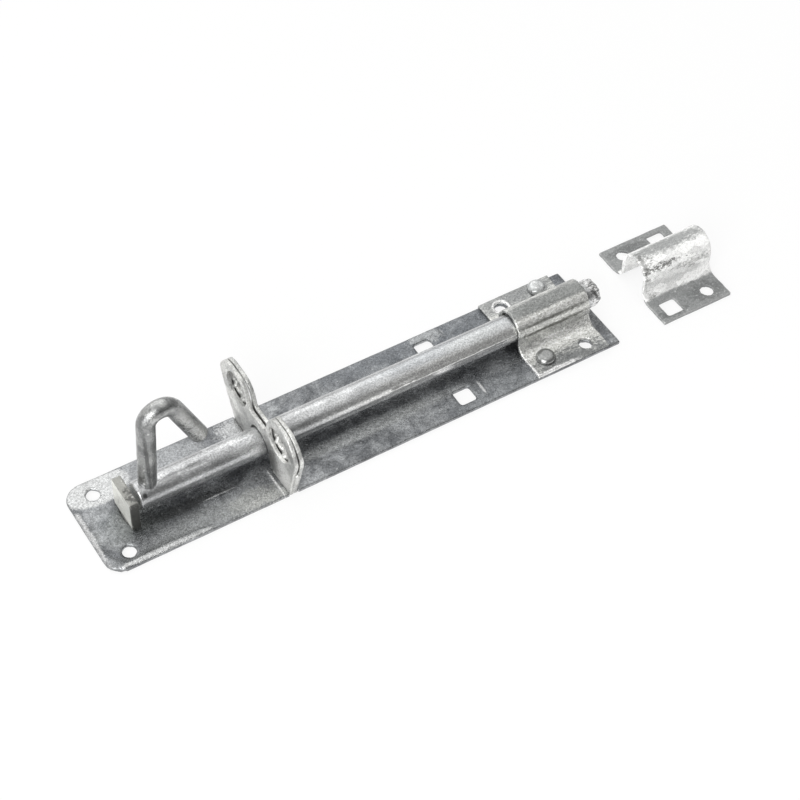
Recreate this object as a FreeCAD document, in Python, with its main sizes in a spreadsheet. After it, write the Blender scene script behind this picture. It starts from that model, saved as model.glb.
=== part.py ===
import FreeCAD, Part
import math
import os

import Sketcher

os.makedirs("parts", exist_ok=True)
doc = FreeCAD.newDocument("padbolt")

# Frame: the origin is the centre of the backplate's underside, +X runs along the bolt towards
# the keep, +Z points away from the door. The bolt is drawn back and its handle stands upright.
SIZES = [
    ("plate_length", "254", "backplate"),
    ("plate_width", "50", ""),
    ("plate_thick", "2", ""),
    ("plate_half_length", "=plate_length / 2", ""),
    ("plate_half_width", "=plate_width / 2", ""),
    ("plate_corner", "8.5", "radius of the two corners at the handle end"),
    ("screw_hole", "6.2", "diameter of every round fixing hole"),
    ("end_hole_inset", "11.8", "screw holes by the stop, from the handle end"),
    ("end_hole_x", "=plate_half_length - end_hole_inset", ""),
    ("end_hole_y", "17.1", ""),
    ("square_hole", "8.4", "side of the holes for square-necked coach bolts"),
    ("square_half", "=square_hole / 2", ""),
    ("square_hole_y", "16.3", ""),
    ("fit_gap", "0.1", "free space all round a tongue in its slot"),
    ("bar_axis_z", "11.3", "height of the bolt's axis over the door"),
    ("bar_radius", "6.6", "bolt, with its zinc"),
    ("bar_back_chamfer", "0.9", ""),
    ("bar_tip_chamfer", "2.6", ""),
    ("bar_tip_edge", "1.8", "rounding of the tip's chamfer"),
    ("stop_inset", "19.7", "middle of the stop's thickness, from the handle end"),
    ("stop_x", "=plate_half_length - stop_inset", ""),
    ("stop_thick", "4", ""),
    ("stop_half_thick", "=stop_thick / 2", ""),
    ("bar_rest_gap", "1.8", "the drawn-back bolt ends this far from the stop"),
    ("bar_back_x", "=stop_x - stop_half_thick - bar_rest_gap", ""),
    ("bar_overhang", "2.4", "the drawn-back bolt's tip stands out over the backplate's end"),
    ("bar_tip_x", "=plate_half_length + bar_overhang", ""),
    ("stop_half_width", "8.7", ""),
    ("stop_top_z", "18.2", ""),
    ("stop_corner", "1.2", ""),
    ("stop_tongue_half", "4.3", "half width of the tongue through the backplate"),
    ("strap_inset", "25.5", "middle of the guide strap, from the backplate's end"),
    ("strap_x", "=plate_half_length - strap_inset", ""),
    ("square_hole_gap", "52.4", "square holes, from the middle of the guide strap"),
    ("square_hole_x", "=strap_x - square_hole_gap", ""),
    ("strap_length", "38", ""),
    ("strap_half_width", "25", ""),
    ("strap_thick", "1.6", "sheet of the guide strap and of the keep"),
    ("strap_height", "16.9", "guide strap, inside of the crown over its feet"),
    ("arch_half", "7.1", "half width inside the arch, and the radius of its crown"),
    ("arch_flare", "5.2", "rounding from the arch to the foot, on the top side"),
    ("arch_outer_half", "=arch_half + strap_thick", ""),
    ("strap_spring_z", "=strap_height - arch_half", "where the crown starts"),
    ("flare_centre_y", "=arch_outer_half + arch_flare", ""),
    ("flare_centre_z", "=strap_thick + arch_flare", ""),
    ("flare_inner", "=arch_flare + strap_thick", ""),
    ("strap_hole_x", "10.2", "screw holes, from the middle of the strap"),
    ("strap_hole_y", "19", ""),
    ("rivet_y", "18.7", "rivets, from the middle between them"),
    ("rivet_shift", "1.5", "the two rivets sit this far towards the far side"),
    ("near_rivet_y", "=rivet_y - rivet_shift", ""),
    ("far_rivet_y", "=rivet_y + rivet_shift", ""),
    ("rivet_radius", "3", "shank of the strap's rivets"),
    ("rivet_play", "0.1", "the rivet's hole is wider than its shank"),
    ("rivet_hole", "=2 * rivet_radius + rivet_play", ""),
    ("rivet_head_radius", "4.6", ""),
    ("rivet_seat_radius", "=rivet_head_radius + fit_gap", "flat seat pressed into the strap"),
    ("rivet_head_height", "2.7", ""),
    ("rivet_head_edge", "0.2", "upright edge under the head's dome"),
    ("rivet_sink", "1.1", "countersink of the closed rivet end under the backplate"),
    ("keep_gap", "23.8", "from the backplate's end to the keep"),
    ("keep_x", "=plate_half_length + keep_gap + strap_length / 2", ""),
    ("keep_half_width", "26", ""),
    ("keep_height", "19.2", "keep, inside of the crown over its feet"),
    ("keep_spring_z", "=keep_height - arch_half", ""),
    ("staple_gap", "65.57", "from the stop to the plane between the staple's two plates"),
    ("staple_x", "=stop_x - staple_gap", ""),
    ("staple_thick", "1.8", ""),
    ("staple_bow", "0.4", "how far each plate bows away from the other"),
    ("staple_touch", "0.03", "each plate's distance from the plane between them at its ends"),
    ("staple_lean", "2.2", "lean of the whole staple towards the handle end, in degrees"),
    ("staple_lean_room", "0.2", "what the lean takes up in the backplate's notches"),
    ("staple_foot_z", "0.15", "the closed ends of the tongues stay this far inside the backplate"),
    ("staple_bow_z", "21", "height of the widest place between the plates"),
    ("staple_bow_radius", "=(staple_bow_z ^ 2 + staple_bow ^ 2) / (2 * staple_bow)", ""),
    ("staple_bow_centre", "=staple_bow_radius - staple_bow - staple_touch", ""),
    ("staple_outer_radius", "=staple_bow_radius + staple_thick", ""),
    ("staple_slab_top", "45", "the plates are cut from slabs of this height"),
    ("staple_slab_half", "40", ""),
    ("staple_slab_far", "50", ""),
    ("staple_slab_low", "2", ""),
    ("leg_outer", "24.6", "half width over the legs at the backplate"),
    ("leg_inner", "7.5", "half width between the legs, and radius of the opening"),
    ("leg_shoulder", "8.6", "half width between the tongues in the backplate"),
    ("shoulder_gap", "0.15", "the leaning shoulders clear the backplate"),
    ("leg_shoulder_z", "=plate_thick + shoulder_gap", ""),
    ("ear_side_y", "30.2", "bend of the ear's outer edge"),
    ("ear_side_z", "20", ""),
    ("ear_side_round", "25", ""),
    ("ear_tip_y", "33.2", "outer corner, before rounding"),
    ("ear_tip_z", "29.6", ""),
    ("ear_tip_round", "8", ""),
    ("ear_shoulder_y", "27.2", "upper outer corner, before rounding"),
    ("ear_shoulder_z", "39.4", ""),
    ("ear_shoulder_round", "9", ""),
    ("ear_top_y", "13.6", "upper corner, before rounding"),
    ("ear_top_z", "39", ""),
    ("ear_top_round", "6", ""),
    ("ear_uneven", "1.6", "the near ear is cut this much higher, the far ear lower"),
    ("near_shoulder_z", "=ear_shoulder_z + ear_uneven", ""),
    ("near_top_z", "=ear_top_z + ear_uneven", ""),
    ("far_shoulder_z", "=ear_shoulder_z - ear_uneven", ""),
    ("far_top_z", "=ear_top_z - ear_uneven", ""),
    ("ear_inner_y", "9.2", "inner corner, before rounding"),
    ("ear_inner_z", "33.5", ""),
    ("ear_inner_round", "6", ""),
    ("saddle_half", "6.8", "half width of the valley floor between the ears"),
    ("saddle_z", "24.4", ""),
    ("saddle_round", "2.5", ""),
    ("eye", "16.4", "diameter of the padlock hole in each ear"),
    ("eye_y", "18.1", ""),
    ("eye_z", "27.4", ""),
    ("rod_radius", "4.1", "handle rod, with its zinc"),
    ("cope_gap", "0.05", "running gap between the handle's foot and the bolt"),
    ("cope_radius", "=bar_radius + cope_gap", ""),
    ("post_lean", "3.5", "lean of the post towards the arm, in degrees"),
    ("foot_depth", "1", "start of the post, before it is coped round the bolt"),
    ("bend_radius", "6.9", "centre line of the handle's bend"),
    ("bend_inset", "15.65", "centre of the bend, from the bolt's handle end"),
    ("bend_x", "=bar_back_x - bend_inset", ""),
    ("bend_reach", "40.2", "centre of the bend, from the bolt's axis"),
    ("arm_slope", "65.4", "slope of the arm from the bolt's axis, in degrees"),
    ("arm_length", "24", "straight arm, from the bend to its cut end"),
    ("arm_edge", "0.6", "rounded edge of the cut end"),
    ("stop_slot_near", "=stop_x - stop_half_thick - fit_gap", ""),
    ("stop_slot_far", "=stop_x + stop_half_thick + fit_gap", ""),
    ("stop_slot_half", "=stop_tongue_half + fit_gap", ""),
    ("notch_near", "=leg_shoulder - fit_gap", "notches for the staple, open at the edges"),
    ("notch_overrun", "1", ""),
    ("notch_far", "=plate_half_width + notch_overrun", ""),
    ("staple_slot_near", "=staple_x - staple_touch - staple_thick - fit_gap", ""),
    ("staple_slot_far", "=staple_x + staple_touch + staple_thick + fit_gap + staple_lean_room", ""),
    ("staple_slab_width", "=2 * staple_slab_half", ""),
    ("rivet_seat_z", "=plate_thick + strap_thick", ""),
    ("rivet_top_z", "=rivet_seat_z + rivet_head_height", ""),
    ("rivet_tail_radius", "=rivet_radius + rivet_sink", ""),
    ("rivet_head_round", "=rivet_head_height - rivet_head_edge", ""),
    ("bar_tip_flat", "=bar_radius - bar_tip_chamfer", ""),
    ("bar_tip_start", "=bar_tip_x - bar_tip_chamfer", ""),
    ("bar_back_flat", "=bar_radius - bar_back_chamfer", ""),
    ("bar_back_start", "=bar_back_x - bar_back_chamfer", ""),
]

sheet = doc.addObject("Spreadsheet::Sheet", "Sizes")
for row, (alias, text, note) in enumerate(SIZES, 1):
    sheet.set("A%d" % row, alias)
    sheet.set("B%d" % row, text)
    sheet.set("C%d" % row, note)
    sheet.setAlias("B%d" % row, alias)
doc.recompute()

PLANES = {"XY": "XY_Plane", "XZ": "XZ_Plane", "YZ": "YZ_Plane"}
AXES = {"X": "X_Axis", "Y": "Y_Axis", "Z": "Z_Axis"}
UPWARDS = FreeCAD.Vector(0, 0, 1)


def size(name):
    """The value of a named size; a leading minus turns its sign."""
    value = float(sheet.get(name.lstrip("-")))
    return -value if name.startswith("-") else value


def of_sheet(name):
    return "-Sizes." + name[1:] if name.startswith("-") else "Sizes." + name


def drive(thing, prop, name):
    thing.setExpression(prop, of_sheet(name))


def new_body(label):
    body = doc.addObject("PartDesign::Body", "Body_" + label)
    body.Label = label
    return body


def origin_feature(body, role):
    return next(f for f in body.Origin.OriginFeatures if f.Role == role)


def new_sketch(body, name, plane):
    """A sketch on one of the body's own planes."""
    sketch = body.newObject("Sketcher::SketchObject", name)
    sketch.AttachmentSupport = [(origin_feature(body, PLANES[plane]), "")]
    sketch.MapMode = "FlatFace"
    return sketch


def fix_datum(sketch, constraint, name):
    index = sketch.addConstraint(constraint)
    sketch.setExpression("Constraints[%d]" % index, "Sizes." + name.lstrip("-"))


def pin_point(sketch, geo, pos, across, up):
    """Holds a point at the named distances from the sketch's origin; None is on the axis."""
    for axis, name, line in (("X", across, -2), ("Y", up, -1)):
        if name is None:
            sketch.addConstraint(Sketcher.Constraint("PointOnObject", geo, pos, line))
        elif name.startswith("-"):
            rule = Sketcher.Constraint("Distance" + axis, geo, pos, -1, 1, abs(size(name)))
            fix_datum(sketch, rule, name)
        else:
            rule = Sketcher.Constraint("Distance" + axis, -1, 1, geo, pos, size(name))
            fix_datum(sketch, rule, name)


def at(across, up):
    return FreeCAD.Vector(size(across) if across else 0, size(up) if up else 0, 0)


def draw_circle(sketch, across, up, radius):
    geo = sketch.addGeometry(Part.Circle(at(across, up), UPWARDS, size(radius)))
    fix_datum(sketch, Sketcher.Constraint("Radius", geo, size(radius)), radius)
    pin_point(sketch, geo, 3, across, up)


def draw_hole(sketch, across, up, diameter):
    geo = sketch.addGeometry(Part.Circle(at(across, up), UPWARDS, size(diameter) / 2))
    fix_datum(sketch, Sketcher.Constraint("Diameter", geo, size(diameter)), diameter)
    pin_point(sketch, geo, 3, across, up)


def draw_corners(sketch, corners):
    """A closed outline of straight edges through pinned corners, each (across, up, rounding)."""
    points = [at(across, up) for across, up, rounding in corners]
    count = len(points)
    trims = []
    for i, (across, up, rounding) in enumerate(corners):
        before = (points[i - 1] - points[i]).normalize()
        after = (points[(i + 1) % count] - points[i]).normalize()
        half = before.getAngle(after) / 2
        trims.append((before, after, half, size(rounding) if rounding else 0.0))
    starts = []
    ends = []
    for point, (before, after, half, radius) in zip(points, trims):
        step = radius / math.tan(half) if radius else 0.0
        ends.append(point + before * step)
        starts.append(point + after * step)
    lines = []
    for i in range(count):
        lines.append(sketch.addGeometry(Part.LineSegment(starts[i], ends[(i + 1) % count])))
    for i, (across, up, rounding) in enumerate(corners):
        last, following = lines[i - 1], lines[i]
        if not rounding:
            sketch.addConstraint(Sketcher.Constraint("Coincident", last, 2, following, 1))
            pin_point(sketch, following, 1, across, up)
            continue
        before, after, half, radius = trims[i]
        centre = points[i] + (before + after).normalize() * (radius / math.sin(half))
        middle = centre + (points[i] - centre).normalize() * radius
        arc = sketch.addGeometry(Part.Arc(ends[i], middle, starts[i]))
        turn = before.cross(after).z
        first, second = (1, 2) if turn < 0 else (2, 1)
        sketch.addConstraint(Sketcher.Constraint("Tangent", last, 2, arc, first))
        sketch.addConstraint(Sketcher.Constraint("Tangent", arc, second, following, 1))
        fix_datum(sketch, Sketcher.Constraint("Radius", arc, radius), rounding)
        corner = sketch.addGeometry(Part.Point(points[i]), True)
        sketch.addConstraint(Sketcher.Constraint("PointOnObject", corner, 1, last))
        sketch.addConstraint(Sketcher.Constraint("PointOnObject", corner, 1, following))
        pin_point(sketch, corner, 1, across, up)


def draw_square(sketch, across, up, half):
    """A square hole whose centre point is pinned and whose half side is a named size."""
    centre = at(across, up)
    reach = size(half)
    steps = [(-reach, -reach), (reach, -reach), (reach, reach), (-reach, reach)]
    points = [centre + FreeCAD.Vector(dx, dy, 0) for dx, dy in steps]
    lines = []
    for i in range(4):
        lines.append(sketch.addGeometry(Part.LineSegment(points[i], points[(i + 1) % 4])))
    for i in range(4):
        sketch.addConstraint(Sketcher.Constraint("Coincident", lines[i - 1], 2, lines[i], 1))
        sketch.addConstraint(Sketcher.Constraint("Vertical" if i % 2 else "Horizontal", lines[i]))
    middle = sketch.addGeometry(Part.Point(centre), True)
    sketch.addConstraint(Sketcher.Constraint("Symmetric", lines[0], 1, lines[2], 1, middle, 1))
    pin_point(sketch, middle, 1, across, up)
    for axis in ("X", "Y"):
        rule = Sketcher.Constraint("Distance" + axis, middle, 1, lines[2], 1, reach)
        fix_datum(sketch, rule, half)


def pad(body, sketch, length, both_sides=False):
    feature = body.newObject("PartDesign::Pad", sketch.Name + "_pad")
    feature.Profile = sketch
    feature.Midplane = both_sides
    drive(feature, "Length", length)
    return feature


def cut_through(body, sketch):
    """Cuts the sketch's outline through the whole body, both ways from its plane."""
    feature = body.newObject("PartDesign::Pocket", sketch.Name + "_cut")
    feature.Profile = sketch
    feature.Type = "ThroughAll"
    feature.Midplane = True
    return feature


def revolve(body, sketch, axis):
    feature = body.newObject("PartDesign::Revolution", sketch.Name + "_turned")
    feature.Profile = sketch
    feature.ReferenceAxis = (origin_feature(body, AXES[axis]), [""])
    feature.Angle = 360
    return feature


def ring_edges(shape, z, centres):
    """Names of the circular edges at height z round the given centres."""
    names = []
    for index, edge in enumerate(shape.Edges, 1):
        if not isinstance(edge.Curve, Part.Circle) or abs(edge.Curve.Center.z - z) > 0.01:
            continue
        spot = edge.Curve.Center
        if any(math.hypot(spot.x - x, spot.y - y) < 0.01 for x, y in centres):
            names.append("Edge%d" % index)
    return names


def make_backplate():
    body = new_body("backplate")
    outline = new_sketch(body, "plate_outline", "XY")
    draw_corners(outline, [
        ("-plate_half_length", "-plate_half_width", "plate_corner"),
        ("plate_half_length", "-plate_half_width", None),
        ("plate_half_length", "plate_half_width", None),
        ("-plate_half_length", "plate_half_width", "plate_corner"),
    ])
    pad(body, outline, "plate_thick")

    holes = new_sketch(body, "plate_holes", "XY")
    for up in ("end_hole_y", "-end_hole_y"):
        draw_hole(holes, "-end_hole_x", up, "screw_hole")
    for up in ("square_hole_y", "-square_hole_y"):
        draw_square(holes, "square_hole_x", up, "square_half")
    cut_through(body, holes)

    strap_holes = new_sketch(body, "plate_strap_holes", "XY")
    drive(strap_holes, "AttachmentOffset.Base.x", "strap_x")
    draw_hole(strap_holes, "strap_hole_x", "-strap_hole_y", "screw_hole")
    draw_hole(strap_holes, "-strap_hole_x", "strap_hole_y", "screw_hole")
    draw_hole(strap_holes, "-strap_hole_x", "-near_rivet_y", "rivet_hole")
    draw_hole(strap_holes, "strap_hole_x", "far_rivet_y", "rivet_hole")
    cut_through(body, strap_holes)

    slots = new_sketch(body, "plate_tongue_slots", "XY")
    draw_corners(slots, rectangle(
        "-stop_slot_far", "-stop_slot_near", "-stop_slot_half", "stop_slot_half"))
    for low, high in (("notch_near", "notch_far"), ("-notch_far", "-notch_near")):
        draw_corners(slots, rectangle("-staple_slot_far", "-staple_slot_near", low, high))
    cut_through(body, slots)
    doc.recompute()

    plate = body.Tip
    centres = [(size("strap_x") - size("strap_hole_x"), -size("near_rivet_y")),
               (size("strap_x") + size("strap_hole_x"), size("far_rivet_y"))]
    sink = body.newObject("PartDesign::Chamfer", "plate_rivet_sinks")
    sink.Base = (plate, ring_edges(plate.Shape, 0, centres))
    drive(sink, "Size", "rivet_sink")
    return body


def rectangle(left, right, low, high):
    return [(left, low, None), (right, low, None), (right, high, None), (left, high, None)]


def make_stop():
    """Upright stop behind the bolt, with a tongue through the backplate, closed flush below."""
    body = new_body("stop_plate")
    face = new_sketch(body, "stop_face", "YZ")
    draw_corners(face, [
        ("-stop_tongue_half", None, None),
        ("stop_tongue_half", None, None),
        ("stop_tongue_half", "plate_thick", None),
        ("stop_half_width", "plate_thick", None),
        ("stop_half_width", "stop_top_z", "stop_corner"),
        ("-stop_half_width", "stop_top_z", "stop_corner"),
        ("-stop_half_width", "plate_thick", None),
        ("-stop_tongue_half", "plate_thick", None),
    ])
    pad(body, face, "stop_thick", both_sides=True)
    drive(body, "Placement.Base.x", "-stop_x")
    return body


def ear_corners(side):
    """Corners of one ear from the leg's foot to the valley; side is the sign of y."""
    ear = "near" if side else "far"
    return [
        (side + "leg_outer", "staple_foot_z", None),
        (side + "leg_outer", "plate_thick", None),
        (side + "ear_side_y", "ear_side_z", "ear_side_round"),
        (side + "ear_tip_y", "ear_tip_z", "ear_tip_round"),
        (side + "ear_shoulder_y", ear + "_shoulder_z", "ear_shoulder_round"),
        (side + "ear_top_y", ear + "_top_z", "ear_top_round"),
        (side + "ear_inner_y", "ear_inner_z", "ear_inner_round"),
        (side + "saddle_half", "saddle_z", "saddle_round"),
    ]


def make_staple_plate(label, side):
    """One bowed plate of the staple; side -1 is the plate towards the handle."""
    sign = "-" if side < 0 else ""
    body = new_body(label)
    slab = new_sketch(body, label + "_bow", "XZ")
    inner, outer = size("staple_bow_radius"), size("staple_outer_radius")
    centre = FreeCAD.Vector(-side * size("staple_bow_centre"), size("staple_bow_z"), 0)
    low, high = -size("staple_slab_low"), size("staple_slab_top")

    def on_arc(radius, z):
        sweep = math.sqrt(radius ** 2 - (z - centre.y) ** 2)
        return FreeCAD.Vector(centre.x + side * sweep, z, 0)

    def bow(radius):
        middle = centre + FreeCAD.Vector(side * radius, 0, 0)
        return sketch_arc(slab, on_arc(radius, low), middle, on_arc(radius, high))

    near, far = bow(inner), bow(outer)
    for geo, name in ((near, "staple_bow_radius"), (far, "staple_outer_radius")):
        fix_datum(slab, Sketcher.Constraint("Radius", geo, size(name)), name)
        pin_point(slab, geo, 3, ("" if side < 0 else "-") + "staple_bow_centre", "staple_bow_z")
    floor = slab.addGeometry(Part.LineSegment(on_arc(inner, low), on_arc(outer, low)))
    roof = slab.addGeometry(Part.LineSegment(on_arc(outer, high), on_arc(inner, high)))
    bottom, top = (2, 1) if side < 0 else (1, 2)
    slab.addConstraint(Sketcher.Constraint("Coincident", near, bottom, floor, 1))
    slab.addConstraint(Sketcher.Constraint("Coincident", floor, 2, far, bottom))
    slab.addConstraint(Sketcher.Constraint("Coincident", far, top, roof, 1))
    slab.addConstraint(Sketcher.Constraint("Coincident", roof, 2, near, top))
    slab.addConstraint(Sketcher.Constraint("Horizontal", floor))
    slab.addConstraint(Sketcher.Constraint("Horizontal", roof))
    for geo, name in ((floor, "-staple_slab_low"), (roof, "staple_slab_top")):
        upwards = (geo, 1, -1, 1) if name.startswith("-") else (-1, 1, geo, 1)
        fix_datum(slab, Sketcher.Constraint("DistanceY", *upwards, abs(size(name))), name)
    pad(body, slab, "staple_slab_width", both_sides=True)

    outline = new_sketch(body, label + "_outline", "YZ")
    draw_corners(outline, rectangle(
        "-staple_slab_far", "staple_slab_far", "-staple_slab_far", "staple_slab_far"))
    draw_corners(outline, ear_corners("") + ear_corners("-")[::-1])
    cut_through(body, outline)

    opening = new_sketch(body, label + "_opening", "YZ")
    draw_opening(opening)
    for ear in ("eye_y", "-eye_y"):
        draw_hole(opening, ear, "eye_z", "eye")
    cut_through(body, opening)

    shoulders = new_sketch(body, label + "_shoulders", "YZ")
    for left, right in (("leg_inner", "leg_shoulder"), ("-leg_shoulder", "-leg_inner")):
        draw_corners(shoulders, rectangle(left, right, "-staple_slab_low", "leg_shoulder_z"))
    cut_through(body, shoulders)
    body.Placement.Rotation = FreeCAD.Rotation(FreeCAD.Vector(0, -1, 0), size("staple_lean"))
    drive(body, "Placement.Rotation.Angle", "staple_lean")
    drive(body, "Placement.Base.x", "-staple_x")
    return body


def sketch_arc(sketch, start, middle, end):
    return sketch.addGeometry(Part.Arc(start, middle, end))


def draw_opening(sketch):
    """The arched opening that the bolt passes through, open at the foot."""
    radius = size("leg_inner")
    axis = size("bar_axis_z")
    low = -size("staple_slab_low")
    left, right = FreeCAD.Vector(-radius, axis, 0), FreeCAD.Vector(radius, axis, 0)
    left_foot, right_foot = FreeCAD.Vector(-radius, low, 0), FreeCAD.Vector(radius, low, 0)
    crown = sketch_arc(sketch, right, FreeCAD.Vector(0, axis + radius, 0), left)
    down = sketch.addGeometry(Part.LineSegment(left, left_foot))
    foot = sketch.addGeometry(Part.LineSegment(left_foot, right_foot))
    up = sketch.addGeometry(Part.LineSegment(right_foot, right))
    sketch.addConstraint(Sketcher.Constraint("Tangent", crown, 2, down, 1))
    sketch.addConstraint(Sketcher.Constraint("Coincident", down, 2, foot, 1))
    sketch.addConstraint(Sketcher.Constraint("Coincident", foot, 2, up, 1))
    sketch.addConstraint(Sketcher.Constraint("Tangent", up, 2, crown, 1))
    sketch.addConstraint(Sketcher.Constraint("Horizontal", foot))
    fix_datum(sketch, Sketcher.Constraint("Radius", crown, radius), "leg_inner")
    pin_point(sketch, crown, 3, None, "bar_axis_z")
    fix_datum(sketch, Sketcher.Constraint("DistanceY", foot, 1, -1, 1, -low), "staple_slab_low")


def draw_arch(sketch, kind):
    """The bent strip seen end on: two feet, two flares and a round crown, of one thickness."""
    thick = size("strap_thick")
    half, outer = size("arch_half"), size("arch_outer_half")
    spring_name = kind + "_spring_z"
    width_name = kind + "_half_width"
    spring = size(spring_name)
    flare_y, flare_z = size("flare_centre_y"), size("flare_centre_z")
    far = size(width_name)
    sides = {}
    for name, crown_radius, flare, foot in (("under", half, size("flare_inner"), 0.0),
                                            ("top", outer, size("arch_flare"), thick)):
        crown = sketch_arc(sketch, FreeCAD.Vector(crown_radius, spring, 0),
                           FreeCAD.Vector(0, spring + crown_radius, 0),
                           FreeCAD.Vector(-crown_radius, spring, 0))
        pin_point(sketch, crown, 3, None, spring_name)
        fix_datum(sketch, Sketcher.Constraint("Radius", crown, crown_radius),
                  "arch_half" if name == "under" else "arch_outer_half")
        ends = []
        for side, crown_end in ((1, 1), (-1, 2)):
            wall_x = side * crown_radius
            wall = sketch.addGeometry(Part.LineSegment(
                FreeCAD.Vector(wall_x, spring, 0), FreeCAD.Vector(wall_x, flare_z, 0)))
            lean = math.radians(45)
            middle = FreeCAD.Vector(side * (flare_y - flare * math.cos(lean)),
                                    flare_z - flare * math.sin(lean), 0)
            bend = sketch_arc(sketch, FreeCAD.Vector(wall_x, flare_z, 0), middle,
                              FreeCAD.Vector(side * flare_y, foot, 0))
            sole = sketch.addGeometry(Part.LineSegment(
                FreeCAD.Vector(side * flare_y, foot, 0), FreeCAD.Vector(side * far, foot, 0)))
            bend_wall, bend_sole = (1, 2) if side > 0 else (2, 1)
            sketch.addConstraint(Sketcher.Constraint("Tangent", crown, crown_end, wall, 1))
            sketch.addConstraint(Sketcher.Constraint("Tangent", wall, 2, bend, bend_wall))
            sketch.addConstraint(Sketcher.Constraint("Tangent", bend, bend_sole, sole, 1))
            mark = "" if side > 0 else "-"
            pin_point(sketch, bend, 3, mark + "flare_centre_y", "flare_centre_z")
            pin_point(sketch, sole, 2, mark + width_name, None if name == "under" else "strap_thick")
            ends.append(sole)
        sides[name] = ends
    for under, top in zip(sides["under"], sides["top"]):
        edge = sketch.addGeometry(Part.LineSegment(
            sketch.Geometry[under].EndPoint, sketch.Geometry[top].EndPoint))
        sketch.addConstraint(Sketcher.Constraint("Coincident", under, 2, edge, 1))
        sketch.addConstraint(Sketcher.Constraint("Coincident", edge, 2, top, 2))


def make_arched_strap(label, kind):
    """A strip bent over the bolt with two screw holes; the guide strap and the keep are alike."""
    body = new_body(label)
    arch = new_sketch(body, label + "_arch", "YZ")
    draw_arch(arch, kind)
    pad(body, arch, "strap_length", both_sides=True)
    holes = new_sketch(body, label + "_holes", "XY")
    draw_hole(holes, "strap_hole_x", "-strap_hole_y", "screw_hole")
    draw_hole(holes, "-strap_hole_x", "strap_hole_y", "screw_hole")
    return body, holes


def make_guide_strap():
    """The strap that is riveted to the backplate; the near head has a flat seat in the bend."""
    body, holes = make_arched_strap("guide_strap", "strap")
    rivets = [("-strap_hole_x", "-near_rivet_y"), ("strap_hole_x", "far_rivet_y")]
    for across, up in rivets:
        draw_hole(holes, across, up, "rivet_hole")
    cut_through(body, holes)
    seats = new_sketch(body, "strap_rivet_seats", "XY")
    drive(seats, "AttachmentOffset.Base.z", "strap_thick")
    for across, up in rivets:
        draw_circle(seats, across, up, "rivet_seat_radius")
    pressed = body.newObject("PartDesign::Pocket", "strap_rivet_seats_pressed")
    pressed.Profile = seats
    pressed.Reversed = True
    drive(pressed, "Length", "rivet_head_height")
    drive(body, "Placement.Base.x", "strap_x")
    drive(body, "Placement.Base.z", "plate_thick")
    return body


def make_keep():
    """The arched strap on the door frame, with square holes for coach bolts on one diagonal."""
    body, holes = make_arched_strap("keep", "keep")
    for side in ("", "-"):
        draw_square(holes, side + "strap_hole_x", side + "strap_hole_y", "square_half")
    cut_through(body, holes)
    drive(body, "Placement.Base.x", "keep_x")
    return body


def make_rivets():
    """Two domed rivets that hold the strap, diagonally, with their ends closed flush below."""
    body = new_body("strap_rivets")
    body.AllowCompound = True
    profile = new_sketch(body, "rivet_profile", "XZ")
    drive(profile, "AttachmentOffset.Base.x", "strap_hole_x")
    drive(profile, "AttachmentOffset.Base.z", "-rivet_y")
    draw_corners(profile, [
        (None, None, None),
        ("rivet_tail_radius", None, None),
        ("rivet_radius", "rivet_sink", None),
        ("rivet_radius", "rivet_seat_z", None),
        ("rivet_head_radius", "rivet_seat_z", None),
        ("rivet_head_radius", "rivet_top_z", "rivet_head_round"),
        (None, "rivet_top_z", None),
    ])
    turned = body.newObject("PartDesign::Revolution", "rivet_turned")
    turned.Profile = profile
    turned.ReferenceAxis = (profile, ["V_Axis"])
    turned.Angle = 360
    doc.recompute()
    pair = body.newObject("PartDesign::PolarPattern", "rivet_pair")
    pair.Originals = [turned]
    pair.Axis = (origin_feature(body, AXES["Z"]), [""])
    pair.Angle = 360
    pair.Occurrences = 2
    body.Tip = pair
    drive(body, "Placement.Base.x", "strap_x")
    drive(body, "Placement.Base.y", "rivet_shift")
    return body


def make_bar():
    """The round bolt, turned from bar: a light chamfer at the handle end, a rounded tip."""
    body = new_body("bolt_bar")
    profile = new_sketch(body, "bar_profile", "XZ")
    draw_corners(profile, [
        ("-bar_back_x", None, None),
        ("bar_tip_x", None, None),
        ("bar_tip_x", "bar_tip_flat", "bar_tip_edge"),
        ("bar_tip_start", "bar_radius", "bar_tip_edge"),
        ("-bar_back_start", "bar_radius", None),
        ("-bar_back_x", "bar_back_flat", None),
    ])
    revolve(body, profile, "X")
    drive(body, "Placement.Base.z", "bar_axis_z")
    return body


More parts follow.
